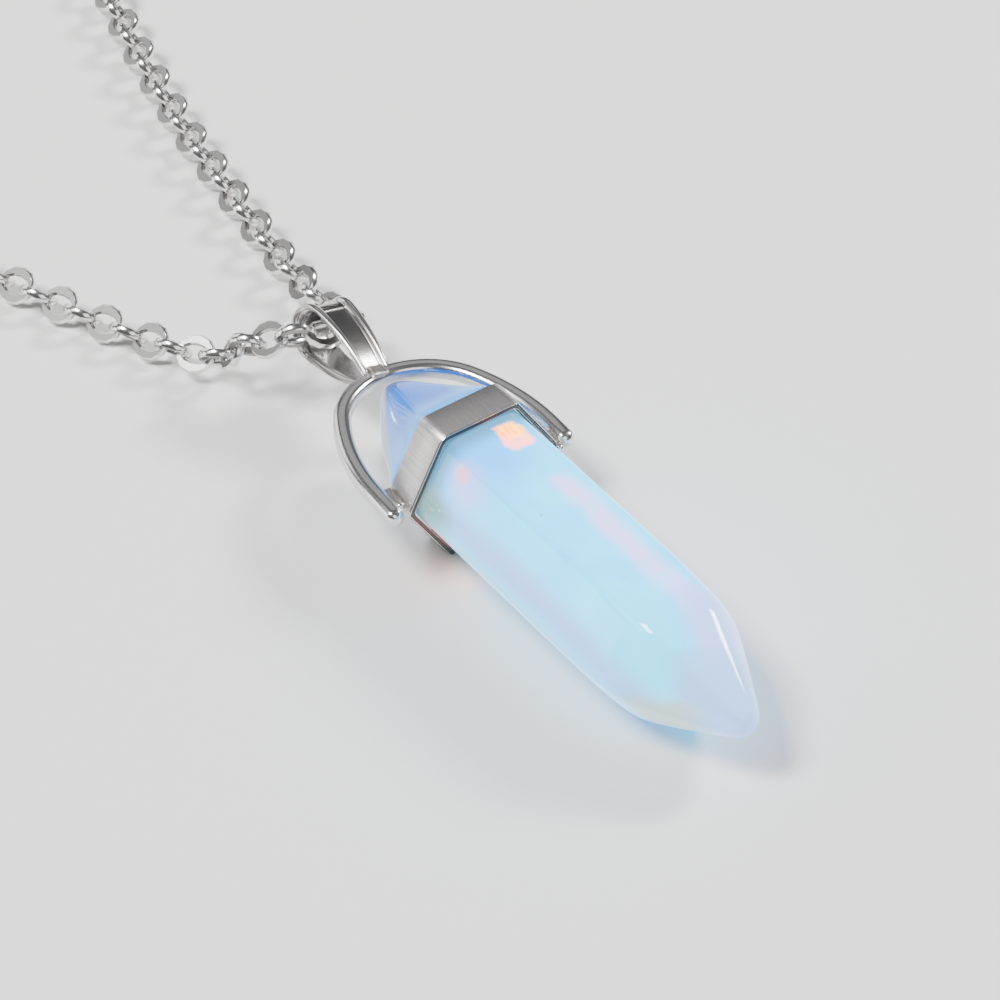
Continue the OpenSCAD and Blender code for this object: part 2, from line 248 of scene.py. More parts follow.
class ClaspSettings(bpy.types.PropertyGroup):
    rim: FloatProperty(
        name="Edge rounding", description="Rounding of the clasp's edges, in millimetres",
        default=0.2, min=0.05, max=0.5)
    thin_share: FloatProperty(
        name="Thin share", description="Share of the full thickness that the clasp's ends keep",
        default=0.44, min=0.3, max=1)
    thin_height: FloatProperty(
        name="Thin height", description="Height about which the clasp's ends are thinned, in millimetres",
        default=1.5, min=0.8, max=1.6)


class StageSettings(bpy.types.PropertyGroup):
    floor_colour: FloatVectorProperty(
        name="Floor", description="Colour of the pale floor",
        subtype="COLOR", default=(0.72, 0.72, 0.71), min=0, max=1)


# ---- modelling helpers ----

def deselect_everything():
    if bpy.context.mode != "OBJECT":
        bpy.ops.object.mode_set(mode="OBJECT")
    bpy.ops.object.select_all(action="DESELECT")


def take(piece):
    """Makes one object the only selected one."""
    deselect_everything()
    piece.select_set(True)
    bpy.context.view_layer.objects.active = piece


def start_edit(piece=None):
    """Goes into edit mode, on a piece that is taken first if one is given."""
    if piece:
        take(piece)
    bpy.ops.object.mode_set(mode="EDIT")


def end_edit():
    bpy.ops.object.mode_set(mode="OBJECT")


def apply_transform(location=False, rotation=False, scale=False):
    bpy.ops.object.transform_apply(location=location, rotation=rotation, scale=scale)


def shade_smooth(piece):
    take(piece)
    bpy.ops.object.shade_smooth()


def named(name):
    """Names the object that an operator has just added."""
    piece = bpy.context.object
    piece.name = piece.data.name = name
    return piece


def pick(kind, test):
    """Selects the parts of the mesh in edit mode that pass a test. kind is verts, edges or faces."""
    bpy.ops.mesh.select_all(action="DESELECT")
    bpy.ops.mesh.select_mode(type={"verts": "VERT", "edges": "EDGE", "faces": "FACE"}[kind])
    mesh = bmesh.from_edit_mesh(bpy.context.object.data)
    found = 0
    for part in getattr(mesh, kind):
        if test(part):
            part.select_set(True)
            found += 1
    mesh.select_flush_mode()
    bmesh.update_edit_mesh(bpy.context.object.data)
    return found


def everything():
    """Selects all of the mesh in edit mode, loose edges too."""
    pick("verts", lambda v: True)


def middle(part):
    """Middle of an edge or a face."""
    return sum((v.co for v in part.verts), Vector()) / len(part.verts)


def move(offset):
    bpy.ops.transform.translate(value=offset)


def stretch(factors, centre=(0, 0, 0)):
    """Scales the selection about a point."""
    bpy.ops.transform.resize(value=factors, center_override=centre)


def pull(offset):
    """Extrudes the selection along an offset."""
    bpy.ops.mesh.extrude_region_move(TRANSFORM_OT_translate={"value": offset})


def modify(piece, kind, **settings):
    """Adds a modifier to a piece and applies it."""
    take(piece)
    modifier = piece.modifiers.new(kind.title(), kind)
    for key, value in settings.items():
        setattr(modifier, key, value)
    bpy.ops.object.modifier_apply(modifier=modifier.name)


def outward(piece):
    """Merges doubles and turns every face outwards."""
    start_edit(piece)
    everything()
    bpy.ops.mesh.remove_doubles(threshold=0.00001)
    bpy.ops.mesh.normals_make_consistent(inside=False)
    end_edit()


def settle(piece, place, material, slot, *stands_for):
    """Puts a finished piece in its place, gives it its material and ties it to the frame."""
    take(piece)
    piece.matrix_world = place @ piece.matrix_world
    apply_transform(location=True, rotation=True, scale=True)
    if material:
        piece.data.materials.append(material)
    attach(piece, "root")
    if stands_for:
        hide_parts(*stands_for)
    return piece


def corner_to_right(piece):
    """Turns a six-sided prism about Y so that one of its corners points to the right."""
    if min(abs(degrees(atan2(v.co.z, v.co.x))) for v in piece.data.vertices) > 1:
        piece.rotation_euler = (0, radians(30), 0)
        apply_transform(rotation=True)


def turn_from(angle, vertex):
    """How many degrees about Y a vertex lies from a direction."""
    return abs((degrees(atan2(vertex.co.z, vertex.co.x)) - angle + 180) % 360 - 180)


def assign(index, test):
    """Gives the faces that pass a test the material at an index, in edit mode."""
    pick("faces", test)
    bpy.context.object.active_material_index = index
    bpy.ops.object.material_slot_assign()


def lump(name, size, seed, grain, place):
    """A block of solder with an uneven skin."""
    deselect_everything()
    bpy.ops.mesh.primitive_cube_add(size=1)
    piece = named(name)
    piece.scale = Vector(size) * MM
    apply_transform(scale=True)
    start_edit()
    everything()
    bpy.ops.mesh.bevel(offset=0.22 * min(size) * MM, segments=2, affect="EDGES")
    everything()
    bpy.ops.mesh.subdivide(number_cuts=2)
    bpy.ops.transform.vertex_random(offset=grain * MM, uniform=0.5, seed=seed)
    end_edit()
    modify(piece, "SUBSURF", levels=1, render_levels=1)
    shade_smooth(piece)
    piece.matrix_world = place
    return piece


def smooth(piece, angle=35):
    take(piece)
    bpy.ops.object.shade_smooth_by_angle(angle=radians(angle))


# ---- material helpers ----

class Value:
    """A socket in a material that can be used in Python expressions."""

    def __init__(self, recipe, socket):
        self.recipe, self.socket = recipe, socket

    def math(self, operation, *others, clamp=False):
        settings = {"operation": operation, "use_clamp": clamp}
        return self.recipe.add("ShaderNodeMath", settings, [self, *others])

    def __add__(self, other):
        return self.math("ADD", other)

    __radd__ = __add__

    def __sub__(self, other):
        return self.math("SUBTRACT", other)

    def __rsub__(self, other):
        return self.recipe.add("ShaderNodeMath", {"operation": "SUBTRACT"}, [other, self])

    def __mul__(self, other):
        return self.math("MULTIPLY", other)

    __rmul__ = __mul__

    def __truediv__(self, other):
        return self.math("DIVIDE", other)

    def __rtruediv__(self, other):
        return self.recipe.add("ShaderNodeMath", {"operation": "DIVIDE"}, [other, self])

    def __abs__(self):
        return self.math("ABSOLUTE")

    def __pow__(self, other):
        return self.math("POWER", other)

    def within(self, low, high):
        """0 below low, 1 above high, and a soft step between them."""
        return self.recipe.add(
            "ShaderNodeMapRange", {"interpolation_type": "SMOOTHSTEP"},
            {"Value": self, "From Min": low, "From Max": high})

    def clamped(self):
        return self.math("ADD", 0.0, clamp=True)


class Recipe:
    """A material and the nodes that make it."""

    def __init__(self, name):
        self.material = bpy.data.materials.new(name)
        self.material.use_nodes = True
        self.tree = self.material.node_tree
        self.shader = self.tree.nodes["Principled BSDF"]

    def add(self, kind, settings=None, inputs=None, output=0):
        """Adds a node with its settings and inputs, and returns one of its outputs."""
        node = self.tree.nodes.new(kind)
        for key, value in (settings or {}).items():
            setattr(node, key, value)
        pairs = inputs.items() if isinstance(inputs, dict) else enumerate(inputs or [])
        for key, value in pairs:
            self.feed(node.inputs[key], value)
        return Value(self, node.outputs[output])

    def feed(self, socket, value):
        if isinstance(value, Value):
            self.tree.links.new(value.socket, socket)
        elif isinstance(value, tuple) and len(value) == 3 and socket.type == "RGBA":
            socket.default_value = (*value, 1.0)
        else:
            socket.default_value = value

    def millimetres(self, place=Matrix.Identity(4)):
        """The place on the object, in millimetres, measured in the frame that a piece was drawn in."""
        return self.add("ShaderNodeMapping", {"vector_type": "TEXTURE"}, {
            "Vector": self.add("ShaderNodeTexCoord", output="Object"),
            "Location": place.to_translation(), "Rotation": place.to_euler(), "Scale": (MM, MM, MM)})

    def parts(self, vector):
        """The three numbers of a vector."""
        x = self.add("ShaderNodeSeparateXYZ", None, [vector])
        return x, Value(self, x.socket.node.outputs[1]), Value(self, x.socket.node.outputs[2])

    def noise(self, vector, scale, detail=3.0, roughness=0.55):
        return self.add(
            "ShaderNodeTexNoise", None,
            {"Vector": vector, "Scale": scale, "Detail": detail, "Roughness": roughness})

    def stretched(self, vector, factors):
        return self.add("ShaderNodeVectorMath", {"operation": "MULTIPLY"}, [vector, factors])

    def band(self, value, centre, half, soft):
        """1 within half of a centre, and a soft fall to 0 outside it."""
        return abs(value - centre).within(half + soft, half - soft)

    def spot(self, first, second, place, size, soft=0.5):
        """1 inside an ellipse, and a soft fall to 0 outside it."""
        reach = (((first - place[0]) / size[0]) ** 2.0 + ((second - place[1]) / size[1]) ** 2.0) ** 0.5
        return reach.within(1 + soft, 1 - soft)

    def blend(self, mask, first, second):
        """One colour where the mask is 0 and the other where it is 1."""
        return self.add(
            "ShaderNodeMix", {"data_type": "RGBA"},
            {0: mask, 6: first, 7: second}, output=2)

    def finish(self, **sockets):
        for name, value in sockets.items():
            self.feed(self.shader.inputs[name.replace("_", " ")], value)
        return self.material


def silver(name, roughness=0.16, colour=(0.82, 0.805, 0.80), place=Matrix.Identity(4), brushed=0.0, grain=0.0,
           shaded_crease=None):
    """Polished metal with faint clouds. brushed adds scratches along Y, grain adds a rough skin, and the last
    argument gives the distance along Y of a fine groove across the channel, both darkened as painted shade."""
    recipe = Recipe(name)
    spot = recipe.millimetres(place)
    cloud = recipe.noise(spot, 0.9, 3.0)
    fine = recipe.noise(spot, 9.0, 3.0)
    dark = cloud * 0.16 + fine * 0.06
    gloss = roughness + cloud * 0.07 + fine * 0.05
    height = cloud * 0.5 + fine * 0.06
    if brushed:
        streak = recipe.noise(recipe.stretched(spot, (9.0, 0.35, 9.0)), 1.0, 4.0, 0.65)
        scratch = recipe.noise(recipe.stretched(spot, (26.0, 0.22, 26.0)), 1.0, 2.0).within(0.62, 0.72)
        dark = dark + (streak * 0.6 + scratch * 0.8) * brushed
        gloss = gloss + streak * 0.15 * brushed
        height = height + streak * 1.6 * brushed - scratch * 1.4 * brushed
    if grain:
        pits = recipe.noise(spot, 7.0, 5.0, 0.7)
        dark = dark + pits.within(0.62, 0.38) * 0.7 * grain
        gloss = gloss + pits * 0.3 * grain
        height = height + pits * 4.0 * grain
    # The bail's channel is darkened as painted shade, and a fine groove across it carries a darker painted line
    # of shade
    if shaded_crease:
        x, y, z = recipe.parts(spot)
        channel = abs(x).within(0.85, 0.6) * z.within(0.6, 0.9)
        line = recipe.band(y + (recipe.noise(spot, 1.4, 2.0) - 0.5) * 1.2, shaded_crease, 0.04, 0.035) * channel
        dark = dark + channel * 0.45 + line
        height = height - line * 3.0
    tint = recipe.blend(dark.clamped(), colour, (0.16, 0.14, 0.13))
    dents = recipe.add("ShaderNodeBump", None, {"Strength": 0.35, "Distance": 0.00003, "Height": height})
    return recipe.finish(Base_Color=tint, Metallic=1.0, Roughness=gloss, Normal=dents)


# The direction that the photograph sees as across the stone, in the stone's own X and Z
ACROSS_X, ACROSS_Z = 0.853, 0.522


def opal(settings):
    """Milky glass. The zones of colour that it shows by refraction are painted on, and glow from it as painted
    light. Its colours are placed along its axis, and across it as the camera sees it.
    """
    r = Recipe("Opal glass")
    place = r.millimetres(LAID)
    x, along, z = r.parts(place)
    wander = r.noise(place, 0.22, 2.0) - 0.5
    across = x * ACROSS_X + z * ACROSS_Z + wander * 0.7
    y = along + wander * 1.2
    core, glint = tuple(settings.core_colour), tuple(settings.glint_colour)
    colour = r.blend(r.noise(place, 0.3, 2.0).within(0.35, 0.7), core, (0.03, 0.62, 0.97))
    # The lilac veil along the left and the pale edge below it
    colour = r.blend(r.band(across, -2.6, 0.7, 0.6), colour, tuple(settings.veil_colour))
    colour = r.blend(across.within(-2.9, -3.7), colour, (0.17, 0.45, 0.70))
    # The pink streak along the right
    streak = r.band(across, 2.65, 0.5, 0.4) * y.within(-5.6, -7.0) * y.within(-19.6, -17.0)
    streak = streak * (0.7 + 0.3 * r.noise(place, 0.9, 2.0).within(0.36, 0.58))
    colour = r.blend(streak, colour, tuple(settings.streak_colour))
    # A greener end of the core, and the whiter tip with its cream lower edge
    colour = r.blend(r.spot(y, across, (-17.4, -0.3), (2.6, 1.7), 0.7) * 0.7, colour, (0.06, 0.58, 0.80))
    side = (across + (-16.5 - y) * 0.5).within(2.0, 3.2) * y.within(-15.5, -17.5)
    colour = r.blend(side, colour, (0.27, 0.39, 0.76))
    colour = r.blend((y + abs(across) * 0.45).within(-18.6, -20.6), colour, (0.20, 0.37, 0.66))
    cream = (across + 3.6 + (y + 17.4) * 0.6).within(0.6, 0.0) * y.within(-16.8, -18.4) * y.within(-22.2, -20.6)
    colour = r.blend(cream * 0.85, colour, (0.28, 0.36, 0.32))
    # Bluer, and then grey towards the collar, where the grey is painted shadow of the collar
    colour = r.blend(r.spot(y, across, (-2.2, 0.9), (3.0, 2.6), 0.6) * 0.7, colour, (0.02, 0.28, 0.85))
    colour = r.blend(along.within(-2.7, -1.2) * 0.9, colour, (0.05, 0.14, 0.22))
    colour = r.blend(r.spot(along, across, (-1.9, -2.9), (1.5, 0.8), 0.6) * 0.8, colour, (0.11, 0.2, 0.16))
    # Two painted glints, and a thin painted line of glint by the lower left edge
    glow = r.spot(along, across, (-3.5, -0.8), (1.3, 0.95), 0.6)
    colour = r.blend(glow * 0.75, colour, (0.30, 0.36, 0.85))
    glow = r.spot(along, across, (-2.85, -0.6), (0.48, 0.38), 0.7)
    colour = r.blend(glow * 0.8, colour, (0.72, 0.27, 0.30))
    ragged = r.noise(place, 1.4, 3.0) - 0.5
    box = r.band(along + ragged * 0.9, -2.6, 0.95, 0.22) * r.band(across + ragged * 0.6, 2.6, 0.56, 0.16)
    box = (box * (0.9 + ragged)).clamped()
    orange = (along + across * 0.7 + ragged * 2.0).within(-1.2, -0.4)
    colour = r.blend(box, colour, r.blend(orange, (0.85, 0.28, 0.33), glint))
    line = across.within(-3.55, -3.65) * r.band(along, -2.3, 1.3, 0.4)
    colour = r.blend(line, colour, glint)
    # A speck in the glass
    colour = r.blend(r.spot(along, x, (-8.3, -1.43), (0.08, 0.05), 0.4) * 0.5, colour, (0.01, 0.05, 0.1))
    # The deeper blue of the short tip, with its pale left edge
    crown = r.blend(across.within(-1.4, 0.5), (0.10, 0.19, 0.42), tuple(settings.crown_colour))
    crown = r.blend(across.within(2.0, 3.0), crown, (0.04, 0.13, 0.26))
    crown = r.blend(along.within(3.6, 1.6) * 0.8, crown, (0.07, 0.24, 0.50))
    crown = r.blend(along.within(5.6, 7.6), crown, (0.03, 0.05, 0.16))
    crown = r.blend((across + (5.0 - along) * 0.55).within(-1.0, -1.5), crown, (0.19, 0.22, 0.27))
    colour = r.blend(along.within(0.6, 0.9), colour, crown)
    # The painted glints glow more strongly than the rest, with yellow streaks
    flame = r.noise(r.stretched(place, (2.2, 0.5, 2.2)), 1.6, 2.0).within(0.42, 0.54)
    heat = r.blend(orange, (2.2, 0.5, 0.4), r.blend(flame, (2.8, 0.5, 0.0), (2.8, 1.3, 0.05)))
    glowing = r.blend(box, colour, heat)
    # Every colour of the stone is also its emission, a painted glow, and the glints glow brightest
    return r.finish(
        Base_Color=colour, Roughness=0.08, IOR=1.47, Emission_Color=glowing, Emission_Strength=2.2)


# ---- the pieces ----

class PENDANT_OT_stone(bpy.types.Operator):
    """Models the tumbled six-sided stone with its two tips"""
    bl_idname = "pendant.stone"
    bl_label = "Crystal point"

    # How far each corner of the long tip's shoulder lies back towards the collar, in millimetres, from the
    # right-hand one upwards
    CORNER_STRAY = (0.5, -0.5, -0.4, 0, 0.5, 0)
    # Width of the small flats that the tips are drawn out to, as shares of the stone's
    TIP_SHARE, CROWN_SHARE = 0.22, 0.2
    # The long tip's smoothing starts this far before its shoulder, in millimetres, and the short tip's at this
    # many times its shoulder's distance from the collar
    TIP_SOFT_START, CROWN_SOFT_START = 2.4, 1.6
    # Direction and half width of the swell about the axis, in degrees, and its reach, in millimetres
    SWELL_TURN, SWELL_SPREAD, SWELL_REACH = 210, 32, 2.6

    def execute(self, context):
        s = context.scene.pendant_stone
        flat = s.flats / 2 * MM
        corner = flat / cos(radians(30))
        length = (s.tip_shoulder + s.crown_shoulder) * MM
        deselect_everything()
        bpy.ops.mesh.primitive_cylinder_add(
            vertices=6, radius=corner, depth=length, rotation=(radians(90), 0, 0),
            location=(0, (s.crown_shoulder - s.tip_shoulder) / 2 * MM, 0))
        stone = named("stone")
        apply_transform(location=True, rotation=True, scale=True)
        corner_to_right(stone)
        start_edit()
        # Both ends are drawn out to small flats
        for side, end, shoulder, share in (
                (-1, s.tip_end, s.tip_shoulder, self.TIP_SHARE),
                (1, s.crown_end, s.crown_shoulder, self.CROWN_SHARE)):
            pick("faces", lambda f: f.normal.y * side > 0.9)
            pull((0, side * (end - shoulder) * MM, 0))
            stretch((share, 1, share), (0, side * end * MM, 0))
        for index, stray in enumerate(self.CORNER_STRAY):
            pick("verts", lambda v: abs(v.co.y + s.tip_shoulder * MM) < 0.0001 and turn_from(60 * index, v) < 5)
            move((0, stray * MM, 0))
        pick("edges", lambda e: all(v.co.y > 0.9 * s.crown_shoulder * MM for v in e.verts))
        bpy.ops.mesh.bevel(offset=s.crown_round * MM, segments=3, profile=0.5, affect="EDGES")
        pick("edges", lambda e: any(v.co.y < 0.9 * s.crown_shoulder * MM for v in e.verts))
        bpy.ops.mesh.bevel(offset=s.edge_round * MM, segments=2, profile=0.5, affect="EDGES")
        end_edit()
        modify(stone, "SUBSURF", levels=2, render_levels=2)
        start_edit(stone)
        # Tumbling has softened both tips
        pick("verts", lambda v: v.co.y < (self.TIP_SOFT_START - s.tip_shoulder) * MM)
        bpy.ops.mesh.vertices_smooth(factor=0.5, repeat=s.tip_soft)
        pick("verts", lambda v: v.co.y > self.CROWN_SOFT_START * s.crown_shoulder * MM)
        bpy.ops.mesh.vertices_smooth(factor=0.5, repeat=s.crown_soft)
        # The short tip is fuller on its lower left
        waist = (s.crown_shoulder + s.crown_end) / 2 * MM
        pick("verts", lambda v: abs(v.co.y - waist) < 0.0004
             and turn_from(self.SWELL_TURN, v) < self.SWELL_SPREAD)
        turn = radians(self.SWELL_TURN)
        bpy.ops.transform.translate(
            value=(s.crown_swell * cos(turn) * MM, 0, s.crown_swell * sin(turn) * MM),
            use_proportional_edit=True, proportional_edit_falloff="SMOOTH",
            proportional_size=self.SWELL_REACH * MM)
        end_edit()
        modify(stone, "SUBSURF", levels=1, render_levels=1)
        shade_smooth(stone)
        settle(stone, LAID, opal(s), "milky_glass", "crystal_point")
        return {"FINISHED"}


class PENDANT_OT_collar(bpy.types.Operator):
    """Models the six-sided band round the stone"""
    bl_idname = "pendant.collar"
    bl_label = "Collar"

    # Directions of the six flats about the axis, in degrees
    FLAT_TURNS = range(30, 360, 60)

    def execute(self, context):
        s = context.scene.pendant_collar
        deselect_everything()
        bpy.ops.mesh.primitive_cylinder_add(
            vertices=6, radius=s.flat * MM / cos(radians(30)), depth=s.height * MM,
            end_fill_type="NOTHING", rotation=(radians(90), 0, 0))
        collar = named("collar")
        apply_transform(rotation=True)
        corner_to_right(collar)
        start_edit()
        pick("edges", lambda e: abs((e.verts[0].co - e.verts[1].co).normalized().y) > 0.9)
        bpy.ops.mesh.bevel(offset=s.corner * MM, segments=5, affect="EDGES")
        end_edit()
        modify(collar, "SOLIDIFY", thickness=s.wall * MM, offset=-1.0, use_even_offset=True)
        outward(collar)
        front = s.height / 2 * MM
        for material in (
                silver("Collar silver", 0.22, (0.86, 0.84, 0.835), LAID, brushed=1.0),
                silver("Rim silver", 0.1, (0.86, 0.85, 0.845)),
                # Painted shade: a dark silver for the rims' recess and the inside of the band
                silver("Recess", 0.4, (0.13, 0.12, 0.115), grain=0.6)):
            collar.data.materials.append(material)
        start_edit(collar)
        # The front rim's outer edge is rounded off
        pick("edges", lambda e: all(v.co.y < -0.9999 * front and max(
            v.co.x * cos(radians(turn)) + v.co.z * sin(radians(turn)) for turn in self.FLAT_TURNS)
            > (s.flat - 0.02) * MM for v in e.verts))
        bpy.ops.mesh.bevel(offset=s.front_round * MM, segments=3, affect="EDGES")
        assign(1, lambda f: -0.97 < f.normal.y < -0.1)
        # A recess runs round the middle of both rims; it and the inside of the band get the dark Recess silver
        # as painted shade
        pick("faces", lambda f: abs(f.normal.y) > 0.9)
        bpy.ops.mesh.inset(thickness=s.lip * MM, depth=-s.recess * MM)
        assign(2, lambda f: 0.5 * front < abs(middle(f).y) < 0.9999 * front)
        assign(2, lambda f: abs(middle(f).y) < 0.5 * front
               and f.normal.dot(Vector((middle(f).x, 0, middle(f).z))) < -0.0001)
        end_edit()
        modify(
            collar, "BEVEL", width=0.4 * s.lip * MM, segments=2, limit_method="ANGLE",
            angle_limit=radians(60), material=1)
        smooth(collar, 40)
        settle(collar, LAID, None, "polished_silver", "setting")
        return {"FINISHED"}


class PENDANT_OT_loop(bpy.types.Operator):
    """Bends the wire loop that joins the collar to the bail"""
    bl_idname = "pendant.loop"
    bl_label = "Loop"

    # Rounding of the wire's section as a share of its thickness, how many steps the bends at the sides and at
    # the crown have, and the turns of the dome that ends each leg, in degrees
    SECTION_ROUND = 0.38
    SIDE_STEPS, CROWN_STEPS = 10, 26
    DOME_TURNS = (18, 36, 54, 72, 86)

    def execute(self, context):
        s = context.scene.pendant_loop
        rise = s.reach - s.rise
        crown_bend = (s.side_bend ** 2 - (s.side_bend - s.half) ** 2 - rise ** 2) / (2 * (s.side_bend - rise))
        side_x = s.half - s.side_bend
        crown_y = s.reach - crown_bend
        sweep = atan2(crown_y - s.rise, -side_x)
        deselect_everything()
        bpy.ops.mesh.primitive_plane_add(
            size=s.wire * MM, rotation=(radians(90), 0, 0),
            location=(s.half * MM, (s.wire / 2 - s.right_end) * MM, 0))
        loop = named("loop")
        apply_transform(location=True, rotation=True, scale=True)
        start_edit()
        # The wire's section is a square with wide round corners
        everything()
        bpy.ops.mesh.bevel(offset=s.wire * self.SECTION_ROUND * MM, segments=5, affect="VERTICES")
        everything()
        bpy.ops.mesh.delete(type="ONLY_FACE")
        everything()
        pull((0, (s.right_end - s.wire / 2 + s.rise) * MM, 0))
        bends = (
            (side_x, s.rise, sweep, self.SIDE_STEPS), (0, crown_y, pi - 2 * sweep, self.CROWN_STEPS),
            (-side_x, s.rise, sweep, self.SIDE_STEPS))
        for centre_x, centre_y, angle, steps in bends:
            bpy.ops.mesh.spin(
                steps=steps, angle=-angle, center=(centre_x * MM, centre_y * MM, 0), axis=(0, 0, 1))
        pull((0, -(s.left_end - s.wire / 2 + s.rise) * MM, 0))
        # Each leg ends in a dome
        for side, end in ((1, s.right_end), (-1, s.left_end)):
            foot = (s.wire / 2 - end) * MM
            pick("verts", lambda v: abs(v.co.y - foot) < 0.00001 and v.co.x * side > 0)
            last = 0
            for turn in self.DOME_TURNS:
                pull((0, -(sin(radians(turn)) - sin(radians(last))) * s.wire / 2 * MM, 0))
                share = cos(radians(turn)) / cos(radians(last))
                stretch((share, 1, share), (
                    side * s.half * MM, foot - sin(radians(turn)) * s.wire / 2 * MM, 0))
                last = turn
            bpy.ops.mesh.edge_face_add()
        end_edit()
        outward(loop)
        shade_smooth(loop)
        turned = LAID @ Matrix.Rotation(-s.skew, 4, "Z") @ Matrix.Rotation(s.roll, 4, "Y")
        settle(loop, turned, silver("Loop silver", 0.14), "polished_silver", "setting")
        return {"FINISHED"}


class PENDANT_OT_bail(bpy.types.Operator):
    """Folds the tapered bail with its two ridges and the channel between them"""
    bl_idname = "pendant.bail"
    bl_label = "Bail"

    # Side view of the folded sheet's outside: distance from the loop's crown and height above the middle
    PROFILE = (
        (-0.1, 0.53), (0.12, 0.57), (0.45, 0.7), (0.85, 0.88), (1.3, 1.05), (1.8, 1.2), (2.4, 1.35),
        (3, 1.46), (3.6, 1.54), (4.1, 1.58), (4.42, 1.6), (4.55, 1.6), (4.85, 1.57), (5.2, 1.46),
        (5.55, 1.25), (5.85, 0.93), (6.06, 0.52), (6.15, 0.05), (6.08, -0.45), (5.85, -0.93), (5.5, -1.29),
        (5, -1.53), (4.5, -1.6), (3.8, -1.56), (3, -1.46), (2.3, -1.33), (1.6, -1.14), (1, -0.92),
        (0.5, -0.7), (0.12, -0.56), (-0.1, -0.5),
    )
    # Places across half the width as shares of it, and how deep each is pressed in as a share of the channel
    COLUMNS = (
        (0, 1), (0.3, 1), (0.5, 1), (0.58, 0.92), (0.61, 0.3),
        (0.67, -0.15), (0.79, -0.4), (0.92, -0.25), (1.0, 0.15))
    # The channel takes this share of the half width, runs over the front leaf and the far end, and gets
    # shallower past the crease
    CHANNEL_EDGE = 0.75
    CREASE, CHANNEL_END = 11, 18
    PAST_CREASE = 0.62
    # The sheet widens from this far before the loop's crown over this length, in millimetres
    TAPER_START, TAPER_LENGTH = 0.5, 6.65

    def execute(self, context):
        s = context.scene.pendant_bail
        half = s.end_width / 2 * MM
        profile = [Vector((0, y, z)) * MM for y, z in self.PROFILE]
        across = len(self.COLUMNS) * 2 - 2
        deselect_everything()
        bpy.ops.mesh.primitive_grid_add(x_subdivisions=across, y_subdivisions=1, size=1, location=(0, 0, 0))
        bail = named("bail")
        start_edit()
        # The grid's far row goes, and its near row is the first section of the front leaf
        pick("verts", lambda v: v.co.y > 0)
        bpy.ops.mesh.delete(type="VERT")
        for index in range(across + 1):
            start = -0.5 + index / across
            step = index - across // 2
            place = (1 if step >= 0 else -1) * self.COLUMNS[abs(step)][0] * half
            pick("verts", lambda v: abs(v.co.x - start) < 0.0001 and v.co.y < -0.4)
            move((place - start, profile[0].y + 0.5, profile[0].z))
        everything()
        for here, there in zip(profile, profile[1:]):
            pull(there - here)
        # Each row is narrowed to the sheet's taper, and its channel and ridges are shaped
        last = len(profile) - 1
        for index, here in enumerate(profile):
            run = profile[min(index + 1, last)] - profile[max(index - 1, 0)]
            out = Vector((0, -run.z, run.y)).normalized()
            share = 1.0 if index < self.CREASE else self.PAST_CREASE if index < self.CHANNEL_END else 0.0
            for place, press in self.COLUMNS:
                depth = press * share if press > 0 and place < self.CHANNEL_EDGE else press
                if place < self.CHANNEL_EDGE and share == 0:
                    depth = 0.0
                if depth:
                    pick("verts", lambda v: (v.co - Vector((v.co.x, here.y, here.z))).length < 0.00001
                         and abs(abs(v.co.x) - place * half) < 0.00001)
                    move(-out * depth * s.channel * MM)
        rows = {}
        for v in bmesh.from_edit_mesh(bail.data).verts:
            near = min(range(len(profile)), key=lambda i: (Vector((0, v.co.y, v.co.z)) - profile[i]).length)
            rows.setdefault(near, set()).add(v.index)
        for index, members in rows.items():
            share = (profile[index].y / MM + self.TAPER_START) / self.TAPER_LENGTH
            width = s.root_width + (s.end_width - s.root_width) * share
            pick("verts", lambda v: v.index in members)
            stretch((width / s.end_width, 1, 1))
        end_edit()
        outward(bail)
        modify(bail, "SOLIDIFY", thickness=s.sheet * MM, offset=-1.0)
        modify(bail, "SUBSURF", levels=2, render_levels=2)
        shade_smooth(bail)
        loop = context.scene.pendant_loop
        turned = (LAID @ Matrix.Translation((0, (loop.reach + s.seat) * MM, 0))
                  @ Matrix.Rotation(s.roll, 4, "Y") @ Matrix.Rotation(s.pitch, 4, "X"))
        # The channel and a fine groove across it near the far end get painted shade
        bail.data.materials.append(silver("Bail silver", 0.15, (0.74, 0.725, 0.72), turned, shaded_crease=4.7))
        settle(bail, turned, None, "polished_silver", "setting")
        return {"FINISHED"}


